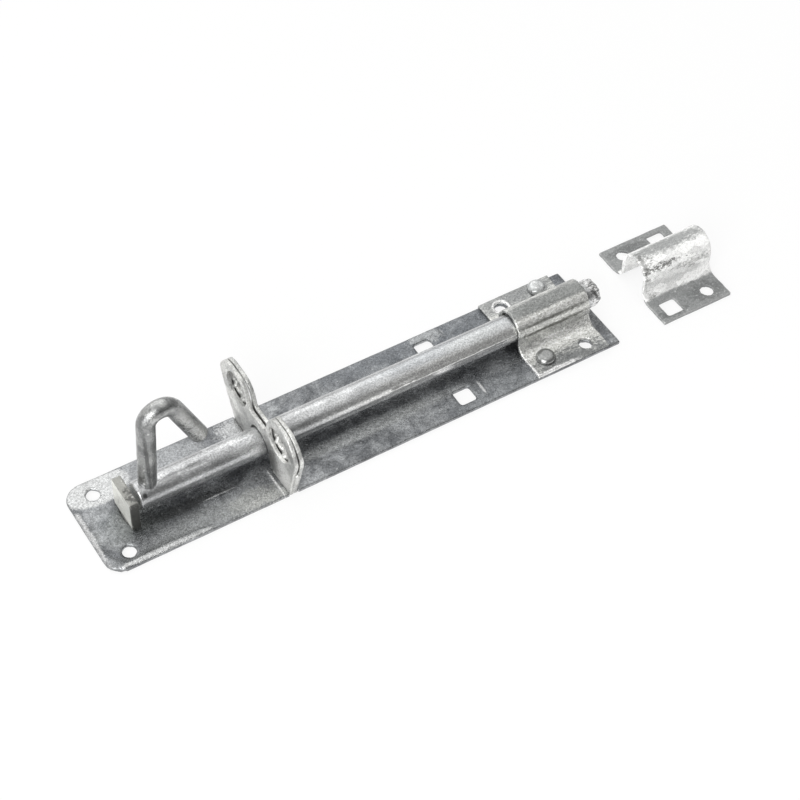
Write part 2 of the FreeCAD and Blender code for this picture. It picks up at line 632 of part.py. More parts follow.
def make_handle():
    """Rod bent like a hairpin, its foot coped round the bolt; drawn in the bolt's own plane."""
    body = new_body("hook_handle")
    path = new_sketch(body, "handle_path", "XZ")
    lean, slope = math.radians(size("post_lean")), math.radians(size("arm_slope"))
    bend = FreeCAD.Vector(-size("bend_x"), size("bend_reach"), 0)
    radius = size("bend_radius")
    post = FreeCAD.Vector(math.sin(lean), math.cos(lean), 0)
    arm = FreeCAD.Vector(math.cos(slope), -math.sin(slope), 0)
    post_top = bend + FreeCAD.Vector(-post.y, post.x, 0) * radius
    arm_top = bend + FreeCAD.Vector(-arm.y, arm.x, 0) * radius
    foot = post_top - post * ((post_top.y - size("foot_depth")) / post.y)
    tip = arm_top + arm * size("arm_length")
    crest = bend + ((post_top - bend) + (arm_top - bend)).normalize() * radius
    shank = path.addGeometry(Part.LineSegment(foot, post_top))
    turn = sketch_arc(path, post_top, crest, arm_top)
    limb = path.addGeometry(Part.LineSegment(arm_top, tip))
    path.addConstraint(Sketcher.Constraint("Tangent", shank, 2, turn, 2))
    path.addConstraint(Sketcher.Constraint("Tangent", turn, 1, limb, 1))
    fix_datum(path, Sketcher.Constraint("Radius", turn, radius), "bend_radius")
    pin_point(path, turn, 3, "-bend_x", "bend_reach")
    fix_datum(path, Sketcher.Constraint("DistanceY", -1, 1, shank, 1, foot.y), "foot_depth")
    fix_datum(path, Sketcher.Constraint("Distance", limb, size("arm_length")), "arm_length")
    tilt = path.addConstraint(Sketcher.Constraint("Angle", -2, 1, shank, 1, -lean))
    path.setExpression("Constraints[%d]" % tilt, "-Sizes.post_lean * 1 deg")
    drop = path.addConstraint(Sketcher.Constraint("Angle", -1, 1, limb, 1, -slope))
    path.setExpression("Constraints[%d]" % drop, "-Sizes.arm_slope * 1 deg")
    doc.recompute()

    section = body.newObject("Sketcher::SketchObject", "handle_section")
    section.AttachmentSupport = [(path, "Edge1")]
    section.MapMode = "NormalToEdge"
    draw_circle(section, None, None, "rod_radius")
    doc.recompute()
    rod = body.newObject("PartDesign::AdditivePipe", "handle_rod")
    rod.Profile = section
    rod.Spine = (path, ["Edge1", "Edge2", "Edge3"])
    doc.recompute()

    cope = new_sketch(body, "handle_cope", "YZ")
    draw_circle(cope, None, None, "cope_radius")
    cut_through(body, cope)
    doc.recompute()
    coped = body.Tip
    end = FreeCAD.Vector(tip.x, 0, tip.y)
    names = ["Edge%d" % index for index, ring in enumerate(coped.Shape.Edges, 1)
             if (ring.CenterOfMass - end).Length < size("rod_radius") / 2]
    edge = body.newObject("PartDesign::Fillet", "handle_end_edge")
    edge.Base = (coped, names)
    drive(edge, "Radius", "arm_edge")
    drive(body, "Placement.Base.z", "bar_axis_z")
    return body


bodies = [
    make_backplate(),
    make_stop(),
    make_staple_plate("staple_handle_side_plate", -1),
    make_staple_plate("staple_strap_side_plate", 1),
    make_guide_strap(),
    make_rivets(),
    make_keep(),
    make_bar(),
    make_handle(),
]
doc.recompute()

for thing in doc.Objects:
    for state in ("Invalid", "Error"):
        if state in thing.State:
            raise RuntimeError("%s is %s" % (thing.Name, state))
for body in bodies:
    shape = body.Shape
    if shape.isNull() or not shape.isValid():
        raise RuntimeError(body.Label + " has no valid shape")
    shape.exportStep("parts/%s.step" % body.Label)
    box = shape.BoundBox
    print("%-26s %d solids %9.1f mm3  x %.2f..%.2f y %.2f..%.2f z %.2f..%.2f" % (
        body.Label, len(shape.Solids), shape.Volume,
        box.XMin, box.XMax, box.YMin, box.YMax, box.ZMin, box.ZMax))
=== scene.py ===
# %% [markdown]
# # A hot-dip galvanised padbolt and its keep
# The real object is cut, bent and riveted from mild steel and then dipped in molten zinc. The dip
# leaves a mottled grey skin, soft edges, small lumps and runs where the zinc gathered. The solids
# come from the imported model. This lesson gives them that skin, a floor, a camera and soft light.

import math
import random

import bpy
from mathutils import Matrix, Vector


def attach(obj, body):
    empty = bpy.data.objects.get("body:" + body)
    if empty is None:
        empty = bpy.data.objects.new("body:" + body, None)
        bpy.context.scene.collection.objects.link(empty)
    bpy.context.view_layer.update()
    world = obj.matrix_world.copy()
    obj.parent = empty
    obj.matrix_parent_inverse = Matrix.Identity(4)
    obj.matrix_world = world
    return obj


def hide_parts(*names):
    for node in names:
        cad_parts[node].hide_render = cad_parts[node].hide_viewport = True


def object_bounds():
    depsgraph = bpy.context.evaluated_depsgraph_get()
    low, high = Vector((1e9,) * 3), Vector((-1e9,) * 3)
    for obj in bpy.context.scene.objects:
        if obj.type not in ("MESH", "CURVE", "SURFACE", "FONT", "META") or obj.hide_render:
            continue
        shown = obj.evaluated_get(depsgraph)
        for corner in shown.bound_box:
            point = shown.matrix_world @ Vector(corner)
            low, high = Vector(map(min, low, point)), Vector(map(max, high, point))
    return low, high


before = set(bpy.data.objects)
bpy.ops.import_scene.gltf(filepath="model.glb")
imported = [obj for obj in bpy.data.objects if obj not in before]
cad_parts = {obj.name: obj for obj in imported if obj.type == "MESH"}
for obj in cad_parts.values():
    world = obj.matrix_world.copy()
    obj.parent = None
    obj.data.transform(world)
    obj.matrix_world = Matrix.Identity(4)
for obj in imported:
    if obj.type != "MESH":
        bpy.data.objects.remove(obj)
CAD_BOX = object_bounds()
MM = 0.001
print("nodes:", sorted(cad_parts))
print("whole object in mm:", [round(v / MM, 1) for corner in CAD_BOX for v in corner])

# %% [markdown]
# ## Camera
# A photograph of a small product is taken with a long lens from above and from the left. The
# camera is set from its direction, its distance and the point that it looks at, worked out for a
# square picture, and it is rolled by about one degree as in the photograph. A camera that is aimed
# by a constraint would be level, so its three axes are worked out here instead.

# %% Camera
CAMERA_AZIMUTH = -32.447
CAMERA_ELEVATION = 49.279
CAMERA_ROLL = 1.325
CAMERA_DISTANCE = 901.469 * MM
LOOK_AT = Vector((24.092, -2.760, 0)) * MM
SENSOR_WIDTH = 36
PICTURE_WIDTH = 800
FOCAL_PIXELS = 2050.788

azimuth, elevation, roll = (math.radians(a) for a in (CAMERA_AZIMUTH, CAMERA_ELEVATION, CAMERA_ROLL))
towards_camera = Vector((math.sin(azimuth) * math.cos(elevation),
                         -math.cos(azimuth) * math.cos(elevation),
                         math.sin(elevation)))
level = Vector((math.cos(azimuth), math.sin(azimuth), 0))
upright = towards_camera.cross(level)
right = level * math.cos(roll) + upright * math.sin(roll)
up = upright * math.cos(roll) - level * math.sin(roll)

bpy.ops.object.camera_add()
camera = bpy.context.object
camera.name = "camera"
turn = Matrix((right, up, towards_camera)).transposed().to_4x4()
camera.matrix_world = Matrix.Translation(LOOK_AT + towards_camera * CAMERA_DISTANCE) @ turn
camera.data.sensor_fit = "HORIZONTAL"
camera.data.sensor_width = SENSOR_WIDTH
camera.data.lens = FOCAL_PIXELS * SENSOR_WIDTH / PICTURE_WIDTH
bpy.context.scene.camera = camera
print("lens %.1f mm at %s mm" % (camera.data.lens, [round(v / MM) for v in camera.location]))

# %% [markdown]
# ## Helpers for materials
# Colours are written as hex values, as a colour picker shows them, and the renderer wants linear
# ones. One function adds a node with its settings and its links, so that a material reads as a list.

# %% Colour and node helpers
def linear(colour):
    values = [int(colour[i:i + 2], 16) / 255 for i in (1, 3, 5)]
    return tuple(v / 12.92 if v <= 0.04045 else ((v + 0.055) / 1.055) ** 2.4 for v in values) + (1,)


def add_node(tree, kind, settings=None, inputs=None):
    node = tree.nodes.new(kind)
    for name, value in (settings or {}).items():
        setattr(node, name, value)
    for name, value in (inputs or {}).items():
        if isinstance(value, bpy.types.NodeSocket):
            tree.links.new(value, node.inputs[name])
        else:
            node.inputs[name].default_value = value
    return node


def new_material(name):
    material = bpy.data.materials.new(name)
    material.use_nodes = True
    material.node_tree.nodes.clear()
    return material


print("a middle grey is %.3f in linear light" % linear("#808080")[0])

# %% [markdown]
# ## Floor
# The floor is a plain pale sheet of paper. The camera, and the metal that mirrors it, see it as
# white, and a small share of its own shading is kept so that the object's soft shadow stays on it.
# It lies a hair below the backplate, so that the two faces never fight for the same place.

# %% Floor
FLOOR_SIZE = 6.0
FLOOR_GAP = 0.05 * MM
FLOOR_COLOUR = "#F6F6F6"
SHADOW_SHARE = 0.16

bpy.ops.object.select_all(action="DESELECT")
bpy.ops.mesh.primitive_plane_add(size=FLOOR_SIZE, location=(0, 0, -FLOOR_GAP))
floor = bpy.context.object
floor.name = "floor"
paper = new_material("pale_paper_floor")
tree = paper.node_tree
matt = add_node(tree, "ShaderNodeBsdfDiffuse", inputs={"Color": linear(FLOOR_COLOUR)})
white = add_node(tree, "ShaderNodeEmission", inputs={"Color": (1, 1, 1, 1), "Strength": 1.0})
path = add_node(tree, "ShaderNodeLightPath")
seen = add_node(tree, "ShaderNodeMath", {"operation": "MAXIMUM"},
                {0: path.outputs["Is Camera Ray"], 1: path.outputs["Is Glossy Ray"]})
seen = add_node(tree, "ShaderNodeMath", {"operation": "MAXIMUM"},
                {0: seen.outputs[0], 1: path.outputs["Is Transmission Ray"]})
seen = add_node(tree, "ShaderNodeMath", {"operation": "MULTIPLY"},
                {0: seen.outputs[0], 1: 1 - SHADOW_SHARE})
mixed = add_node(tree, "ShaderNodeMixShader",
                 inputs={0: seen.outputs[0], 1: matt.outputs[0], 2: white.outputs[0]})
add_node(tree, "ShaderNodeOutputMaterial", inputs={"Surface": mixed.outputs[0]})
floor.data.materials.append(paper)
print("floor at z %.2f mm" % (floor.location.z / MM))

# %% [markdown]
# ## Sky
# The photograph is lit by a wide soft source overhead and behind, a little to the left, so the
# faces that look up mirror a bright sky and the bolt's near side has a dark band. A smooth fall
# from bright to dark around one direction gives this without a visible lamp in the metal. Only the
# camera sees the background as white. Everything else sees the softer sky.

# %% Sky
SKY_BRIGHT = 1.15
SKY_DARK = 0.18
SKY_TINT = "#FDFDFC"
BRIGHT_POLE = Vector((-0.15, 0.48, 0.86)).normalized()
FULLY_BRIGHT_AT = 0.92

world = bpy.data.worlds.new("studio")
bpy.context.scene.world = world
world.use_nodes = True
tree = world.node_tree
tree.nodes.clear()
direction = add_node(tree, "ShaderNodeTexCoord")
facing = add_node(tree, "ShaderNodeVectorMath", {"operation": "DOT_PRODUCT"},
                  {0: direction.outputs["Generated"], 1: BRIGHT_POLE})
glow = add_node(tree, "ShaderNodeMapRange", {"interpolation_type": "SMOOTHSTEP"},
                {"Value": facing.outputs["Value"], "From Min": 0.0, "From Max": FULLY_BRIGHT_AT,
                 "To Min": SKY_DARK, "To Max": SKY_BRIGHT})
studio = add_node(tree, "ShaderNodeBackground",
                  inputs={"Color": linear(SKY_TINT), "Strength": glow.outputs[0]})
backdrop = add_node(tree, "ShaderNodeBackground", inputs={"Color": (1, 1, 1, 1), "Strength": 1.0})
path = add_node(tree, "ShaderNodeLightPath")
shown = add_node(tree, "ShaderNodeMixShader", inputs={0: path.outputs["Is Camera Ray"],
                                                      1: studio.outputs[0], 2: backdrop.outputs[0]})
add_node(tree, "ShaderNodeOutputWorld", inputs={"Surface": shown.outputs[0]})
bpy.context.scene.view_settings.view_transform = "Standard"
print("sky from %.2f to %.2f" % (SKY_DARK, SKY_BRIGHT))

# %% [markdown]
# ## Lamps
# Two large square lamps help the sky: one behind for the shine along the bolt, and one at the left
# that lights the faces of the stop and of the ears. They are wide, so their shadows are soft.

# %% Lamps
LAMP_WIDTH = 1.0
LAMP_TARGET = Vector((0.02, 0, 0.01))
LAMPS = [
    ("soft_box_behind", (0.10, 0.95, 0.95), 2.0),
    ("soft_box_left", (-0.95, -0.75, 0.6), 14.0),
]
for name, stand, power in LAMPS:
    bpy.ops.object.light_add(type="AREA", location=stand)
    lamp = bpy.context.object
    lamp.name = name
    lamp.data.shape = "SQUARE"
    lamp.data.size = LAMP_WIDTH
    lamp.data.energy = power
    lamp.rotation_euler = (LAMP_TARGET - Vector(stand)).to_track_quat("-Z", "Y").to_euler()
    print(name, "at", stand, "with", power, "W")

# %% [markdown]
# ## Zinc: its patterns
# Zinc that has cooled is a fairly light metal, and within weeks it dulls to a neutral grey. It
# freezes as broad clouds and angular crystals, with mottles of a millimetre or two where ash from
# the bath stuck, and a salt-and-pepper grain. The real grain is a few hundredths of a millimetre,
# too fine for the picture, so it is drawn at 0.5 to 0.9 mm. A picture of a sheet could be wrapped
# on, but noise in the piece's own millimetres has no seams and is tuned for each piece.

# %% Zinc patterns
CRYSTALS_PER_CLOUD = 1.7


def zinc_patterns(tree, place, cloud, mottle, grain, shift, stretch):
    """Clouds, crystals, mottles and grains: sizes are in mm, and stretch is along the bolt."""
    here = add_node(tree, "ShaderNodeMapping", inputs={
        "Vector": place, "Location": (shift, shift, shift), "Scale": (1 / stretch, 1, 1)}).outputs[0]
    clouds = add_node(tree, "ShaderNodeTexNoise", inputs={
        "Vector": here, "Scale": 1 / cloud, "Detail": 4, "Roughness": 0.6, "Distortion": 0.8})
    crystals = add_node(tree, "ShaderNodeTexVoronoi", {"feature": "F1"}, {
        "Vector": here, "Scale": CRYSTALS_PER_CLOUD / cloud})
    mottles = add_node(tree, "ShaderNodeTexNoise", inputs={
        "Vector": here, "Scale": 1 / mottle, "Detail": 5, "Roughness": 0.8, "Distortion": 0.2})
    grains = add_node(tree, "ShaderNodeTexNoise", inputs={
        "Vector": place, "Scale": 1 / grain, "Detail": 2, "Roughness": 0.7})
    return (clouds.outputs["Fac"], crystals.outputs["Color"], mottles.outputs["Fac"],
            grains.outputs["Fac"])


print("crystals are %.2f of a cloud wide" % (1 / CRYSTALS_PER_CLOUD))

# %% [markdown]
# ## Zinc: its zones
# In places the photograph shows another tone: a rim, a foot, a scratch, a cut end. Other zones are
# painted light and shade: a lighter or darker side, a shadow, a highlight, a reflection. Such a zone
# is an ellipsoid, written as its centre and half sizes in millimetres, its colour, its share of that
# colour, how ragged its rim is and how softly it fades. A ragged zone breaks up into specks. Zones
# could be painted by hand on the mesh, but these stay right when the mesh is made again.

# %% Share of a zone
def zone_share(tree, place, uneven, centre, half, share, ragged, soft):
    """How much of a zone is here: its share inside the ellipsoid, 0 outside, with an uneven rim."""
    offset = add_node(tree, "ShaderNodeVectorMath", {"operation": "SUBTRACT"}, {0: place, 1: centre})
    scaled = add_node(tree, "ShaderNodeVectorMath", {"operation": "DIVIDE"}, {
        0: offset.outputs[0], 1: half})
    reach = add_node(tree, "ShaderNodeVectorMath", {"operation": "LENGTH"}, {0: scaled.outputs[0]})
    wavy = add_node(tree, "ShaderNodeMath", {"operation": "MULTIPLY_ADD"}, {
        0: uneven, 1: 2 * ragged, 2: reach.outputs["Value"]})
    return add_node(tree, "ShaderNodeMapRange", {"interpolation_type": "SMOOTHSTEP"}, {
        "Value": wavy.outputs[0], "From Min": 1 - soft, "From Max": 1 + soft,
        "To Min": share, "To Max": 0.0}).outputs[0]


# %% [markdown]
# ## Zinc: its colour
# The clouds mix a dull and a light grey, each crystal is a little lighter or darker, and the zones
# go over them. Convex edges, where the zinc is thick, and the tops of the mottles turn bright, the
# lows of the mottles are dark flecks, and the grain goes over all. The flecks have narrow limits,
# because wide ones look like concrete and not like metal.

# %% Zinc colour
CLOUD_LIMITS = (0.38, 0.62)
CRYSTAL_TONES = (0.8, 1.18)
EDGE_LIMITS = (0.52, 0.62)
BRIGHT_FLECK_LIMITS = (0.6, 0.7)
BRIGHT_FLECK_SHARE = 0.7
DARK_FLECK_LIMITS = (0.32, 0.43)
GRAIN_LIMITS = (0.4, 0.6)


def zinc_colour(tree, place, patterns, tones, zones, edge, depth, grain_depth):
    """Tones are the dull, light and bright grey; edge, depth and grain_depth are shares."""
    clouds, crystals, mottles, grains = patterns
    dull, light, bright = (linear(tone) for tone in tones)
    cloud_share = add_node(tree, "ShaderNodeMapRange", inputs={
        "Value": clouds, "From Min": CLOUD_LIMITS[0], "From Max": CLOUD_LIMITS[1]})
    colour = add_node(tree, "ShaderNodeMix", {"data_type": "RGBA"}, {
        0: cloud_share.outputs[0], 6: dull, 7: light}).outputs[2]
    crystal_tone = add_node(tree, "ShaderNodeSeparateColor", inputs={0: crystals})
    crystal_share = add_node(tree, "ShaderNodeMapRange", inputs={
        "Value": crystal_tone.outputs[0], "To Min": CRYSTAL_TONES[0], "To Max": CRYSTAL_TONES[1]})
    colour = add_node(tree, "ShaderNodeVectorMath", {"operation": "SCALE"}, {
        0: colour, "Scale": crystal_share.outputs[0]}).outputs[0]
    uneven = add_node(tree, "ShaderNodeMath", {"operation": "SUBTRACT"}, {0: mottles, 1: 0.5}).outputs[0]
    for centre, half, tone, share, ragged, soft in zones:
        here = zone_share(tree, place, uneven, centre, half, share, ragged, soft)
        colour = add_node(tree, "ShaderNodeMix", {"data_type": "RGBA"}, {
            0: here, 6: colour, 7: linear(tone)}).outputs[2]
    shape = add_node(tree, "ShaderNodeNewGeometry")
    edge_share = add_node(tree, "ShaderNodeMapRange", inputs={
        "Value": shape.outputs["Pointiness"], "From Min": EDGE_LIMITS[0], "From Max": EDGE_LIMITS[1],
        "To Min": 0.0, "To Max": edge})
    light_share = add_node(tree, "ShaderNodeMapRange", {"interpolation_type": "SMOOTHSTEP"}, {
        "Value": mottles, "From Min": BRIGHT_FLECK_LIMITS[0], "From Max": BRIGHT_FLECK_LIMITS[1],
        "To Min": 0.0, "To Max": BRIGHT_FLECK_SHARE})
    lit = add_node(tree, "ShaderNodeMath", {"operation": "MAXIMUM"}, {
        0: light_share.outputs[0], 1: edge_share.outputs[0]})
    colour = add_node(tree, "ShaderNodeMix", {"data_type": "RGBA"}, {
        0: lit.outputs[0], 6: colour, 7: bright}).outputs[2]
    mottle_share = add_node(tree, "ShaderNodeMapRange", {"interpolation_type": "SMOOTHSTEP"}, {
        "Value": mottles, "From Min": DARK_FLECK_LIMITS[0], "From Max": DARK_FLECK_LIMITS[1],
        "To Min": 1 - depth, "To Max": 1.0})
    grain_share = add_node(tree, "ShaderNodeMapRange", inputs={
        "Value": grains, "From Min": GRAIN_LIMITS[0], "From Max": GRAIN_LIMITS[1],
        "To Min": 1 - grain_depth, "To Max": 1 + grain_depth})
    darkness = add_node(tree, "ShaderNodeMath", {"operation": "MULTIPLY"}, {
        0: mottle_share.outputs[0], 1: grain_share.outputs[0]})
    return add_node(tree, "ShaderNodeVectorMath", {"operation": "SCALE"}, {
        0: colour, "Scale": darkness.outputs[0]}).outputs[0]


# %% [markdown]
# ## Zinc: the whole material
# Galvanised steel is metal through and through, but its weathered film scatters some light, so the
# metallic share is often below one, and lowest on the chalky white keep. The tops of the mottles
# are smoother than their lows. The mottles and the grain also tilt the surface a little, which only
# the shine shows.

# %% Zinc material
MOTTLE_HEIGHT = 3.0
ROUGH_LIMITS = (0.3, 0.7)


def galvanised(name, tones, zones, cloud, mottle=3.0, depth=0.4, grain=0.5, grain_depth=0.2,
               rough=(0.2, 0.32), relief=0.05, edge=0.5, metal=0.88, shift=0.0, stretch=1.0):
    """Sizes of cloud, mottle, grain and relief are in mm, and rough is for the smooth and dull parts."""
    material = new_material(name)
    tree = material.node_tree
    where = add_node(tree, "ShaderNodeTexCoord")
    place = add_node(tree, "ShaderNodeVectorMath", {"operation": "SCALE"}, {
        0: where.outputs["Object"], "Scale": 1 / MM}).outputs[0]
    patterns = zinc_patterns(tree, place, cloud, mottle, grain, shift, stretch)
    mottles, grains = patterns[2:]
    colour = zinc_colour(tree, place, patterns, tones, zones, edge, depth, grain_depth)
    roughness = add_node(tree, "ShaderNodeMapRange", inputs={
        "Value": mottles, "From Min": ROUGH_LIMITS[0], "From Max": ROUGH_LIMITS[1],
        "To Min": rough[1], "To Max": rough[0]})
    heights = add_node(tree, "ShaderNodeMath", {"operation": "MULTIPLY_ADD"}, {
        0: mottles, 1: MOTTLE_HEIGHT, 2: grains})
    bump = add_node(tree, "ShaderNodeBump", inputs={
        "Strength": 1.0, "Distance": relief * MM, "Height": heights.outputs[0]})
    shader = add_node(tree, "ShaderNodeBsdfPrincipled", inputs={
        "Base Color": colour, "Metallic": metal, "Roughness": roughness.outputs[0],
        "Normal": bump.outputs[0]})
    add_node(tree, "ShaderNodeOutputMaterial", inputs={"Surface": shader.outputs[0]})
    print("%-20s %2d zones" % (name, len(zones)))
    return material


# %% [markdown]
# ## Lumps of zinc
# Where the zinc gathers it freezes as lumps: in rows along a rim, in runs along the bolt, in clots
# in a hole. A row of them is laid along a line, and each is moved aside and sized by chance, within
# limits, because even beads would look like a bought chain.

# %% Rows of lumps
SMALLEST_LUMP, LARGEST_LUMP = 0.65, 1.2


def trail(points, count, radius, flat, seed, scatter=0.3, length=1.6):
    """Lumps along a line through points; radius in mm, flat and length are shares of it."""
    chance = random.Random(seed)
    lumps = []
    for i in range(count):
        leg = i * (len(points) - 1) / count
        start, end = Vector(points[int(leg)]), Vector(points[int(leg) + 1])
        aside = Vector((chance.uniform(-scatter, scatter), chance.uniform(-scatter, scatter), 0))
        size = radius * chance.uniform(SMALLEST_LUMP, LARGEST_LUMP)
        long_way = (end - start).normalized()
        scale = [1 + (length - 1) * abs(v) for v in long_way[:2]] + [flat]
        lumps.append((start.lerp(end, leg - int(leg)) + aside, size, scale))
    return lumps


# %% [markdown]
# ## Dipping a piece
# The dip rounds every edge and runs into every corner. A copy of each solid is merged, its lumps
# are added as small balls, and one voxel remesh melts all of it together. Bevelled edges would be
# even all along, and the melted ones are not. A second modifier pushes the skin in and out by some
# tenths of a millimetre at most, with a pattern that can be drawn out along the bolt where the zinc
# has run that way. What then reaches past the whole object's box is brought back to it.

# %% Dipping
MERGE_WITHIN = 0.002
EASE_FACTOR = 0.5
EASE_STEPS = 2
RIPPLE_DEPTH = 4
RIPPLE_MIDDLE = 0.55


def ripple_skin(piece, waves, wave_size, drawn_out):
    """Push the skin in and out by up to waves; an empty's scale draws the pattern out in x."""
    bpy.ops.object.empty_add()
    ruler = bpy.context.object
    ruler.scale = (drawn_out, 1, 1)
    bpy.context.view_layer.update()
    ripple = bpy.data.textures.new(piece.name + "_ripple", "CLOUDS")
    ripple.noise_scale = wave_size * MM
    ripple.noise_depth = RIPPLE_DEPTH
    bpy.context.view_layer.objects.active = piece
    push = piece.modifiers.new("push", "DISPLACE")
    push.texture = ripple
    push.texture_coords = "OBJECT"
    push.texture_coords_object = ruler
    push.strength = 2 * waves * MM
    push.mid_level = RIPPLE_MIDDLE
    bpy.ops.object.modifier_apply(modifier=push.name)
    bpy.data.objects.remove(ruler)


def dip(node, zinc, body, voxel, lumps=(), waves=0.08, wave_size=5.0, drawn_out=1.0):
    """The node's copy with its zinc: lumps are (place in mm, radius in mm, scale)."""
    bpy.ops.object.select_all(action="DESELECT")
    piece = bpy.data.objects.new(node + "_skin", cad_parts[node].data.copy())
    bpy.context.scene.collection.objects.link(piece)
    bpy.context.view_layer.objects.active = piece
    piece.select_set(True)
    bpy.ops.object.mode_set(mode="EDIT")
    bpy.ops.mesh.select_all(action="SELECT")
    bpy.ops.mesh.remove_doubles(threshold=MERGE_WITHIN * MM)
    for place, radius, scale in lumps:
        bpy.ops.mesh.primitive_ico_sphere_add(subdivisions=3, radius=radius * MM,
                                              location=Vector(place) * MM, scale=scale)
    bpy.ops.object.mode_set(mode="OBJECT")
    melt = piece.modifiers.new("melt", "REMESH")
    melt.mode = "VOXEL"
    melt.voxel_size = voxel * MM
    bpy.ops.object.modifier_apply(modifier=melt.name)
    ease = piece.modifiers.new("ease", "SMOOTH")
    ease.factor = EASE_FACTOR
    ease.iterations = EASE_STEPS
    bpy.ops.object.modifier_apply(modifier=ease.name)
    ripple_skin(piece, waves, wave_size, drawn_out)
    for corner in piece.data.vertices:
        corner.co = [min(max(v, low), high) for v, low, high in zip(corner.co, *CAD_BOX)]
    piece.select_set(True)
    bpy.ops.object.shade_smooth()
    piece.data.materials.clear()
    piece.data.materials.append(zinc)
    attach(piece, body)
    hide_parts(node)
    print("%-32s %6d faces" % (piece.name, len(piece.data.polygons)))


# %% [markdown]
# ## Backplate
# The backplate is a strip of sheet with two rounded corners. When it was drawn out of the bath, the
# zinc ran to two of its rims and froze there as beads, and more stayed at the foot of the staple.
# Beads drawn by bump alone would leave the outline straight, so they are lumps that are melted into
# the rim. The sheet itself is darker than the rest and shows the clouds best. Three of its zones are
# painted light and shade: a shadow below the bolt, a lighter strip beside it, and a highlight along
# the near ear's foot.

# %% Backplate's finish
PLATE_ZONES = [
    ((-113, 19, 3), (20, 11, 1.6), "#CFD0D0", 0.85, 0.12, 0.06),  # pale far corner
    ((-98, -21, 2), (24, 1.4, 9), "#6C6E6E", 0.7, 0.4, 0.4),  # dark line inside the near rim
    ((-126.2, -3, 3), (1.6, 19, 1.4), "#C8C8C8", 0.7, 1.8, 0.12),  # beads on the end rim
    # Painted shadow: the bolt's shade on the sheet below it, drawn as a dark strip.
    ((-86, -8.4, 2), (24, 2.6, 9), "#4C4D4D", 0.75, 0.5, 0.4),  # dark strip below the bolt
    # Painted light: a lighter strip that lifts the bolt's shade beside it.
    ((2, -11, 2), (42, 3.4, 9), "#C6C8C8", 0.7, 0.5, 0.4),  # light strip beside the bolt
    ((-100, -24.4, 3), (24, 3.2, 1.3), "#DADBDB", 0.9, 0.4, 0.08),  # beads on the near rim
    ((-107, -4, 2), (14, 9, 9), "#6E7271", 0.5, 1.2, 0.4),  # dark cloud round the stop
    ((-78, -19, 2), (24, 6, 9), "#A6A8A8", 0.6, 0.8, 0.4),  # light cloud on the near side
    ((-70, -10, 2), (7, 0.35, 9), "#E6E6E6", 0.8, 0.0, 0.3),  # scratch
    ((-49, 18, 3), (7, 7, 1.6), "#D2D3D4", 0.75, 1.4, 0.3),  # grains behind the far ear
    ((75, 20, 2), (62, 10, 9), "#6E7277", 0.6, 0.8, 0.5),  # dark far side
    ((20, 23, 2), (26, 5, 9), "#7A7D81", 0.6, 0.8, 0.4),  # dark far edge
    ((-82, 18, 2), (17, 7, 9), "#A4A6A8", 0.7, 0.6, 0.3),  # light cloud on the far side
    ((74, -20, 2), (34, 7, 9), "#7E8184", 0.5, 0.8, 0.4),  # dark near side by the strap
    ((52, 22, 2), (8, 4.5, 9), "#B4B6B7", 0.7, 2.0, 0.15),  # specks at the far square hole
    ((58, -16, 2), (0.6, 4, 9), "#DADADA", 0.7, 0.4, 0.3),  # bright line at the near square hole
    ((-58, -20, 2), (12, 5, 9), "#B0B1AE", 0.6, 1.6, 0.3),  # grains in front of the near ear
    # Painted highlight along the near ear's foot, over the zinc lumps laid there.
    ((-46.2, -17, 2), (0.45, 8, 9), "#FAFAFA", 0.9, 0.3, 0.3),  # bright line at its foot
    ((-52, -22.5, 2), (9, 2.4, 9), "#C4C5C2", 0.5, 2.5, 0.3),  # paler grains at the near rim
]
plate_zinc = galvanised("galvanised_plate", ("#6C6E71", "#9C9EA0", "#D0D1D1"), PLATE_ZONES,
                        cloud=11, mottle=1.5, depth=0.5, grain=0.8, grain_depth=0.22, relief=0.09)

# %% Backplate
rim = trail([(-125.3, 9, 2), (-125.3, -15, 2), (-124.0, -20, 2), (-120.2, -23.2, 2)],
            count=30, radius=1.5, flat=0.5, seed=1, scatter=0.5)
rim += trail([(-119, -23.4, 2), (-98, -23.4, 2), (-80, -23.8, 2)],
             count=30, radius=1.3, flat=0.36, seed=2, length=2.6)
hole_grains = trail([(45, 21.8, 2), (52, 22.4, 2), (59, 21.4, 2)],
                    count=12, radius=0.8, flat=0.6, seed=3, scatter=0.9)
hole_grains += trail([(58.4, -12.5, 2), (58.4, -19.5, 2)],
                     count=9, radius=0.5, flat=0.7, seed=4, scatter=0.1)
staple_foot = []
for side in (-1, 1):
    staple_foot += trail([(-45.7, side * 9, 1.9), (-45.7, side * 24, 1.9)],
                         count=16, radius=0.7, flat=0.6, seed=11, scatter=0.1)
    staple_foot += trail([(-39.6, side * 9, 1.6), (-39.4, side * 25.6, 1.3)],
                         count=20, radius=0.9, flat=0.8, seed=12, scatter=0.1)
dip("backplate", plate_zinc, "mounting", voxel=0.8,
    lumps=rim + hole_grains + staple_foot, waves=0.1, wave_size=9)

# %% [markdown]
# ## Stop
# The stop is a small thick plate that stands on its tongue and keeps the bolt from being drawn out.
# Its large faces dulled to a warm pale grey with hardly a cloud. Two zones give the edges their tone:
# the near edge is painted shade, and the top edge is a darker grey. A dark line of painted shade runs
# along its foot. Its corners are crisp, and a fine voxel keeps them so.

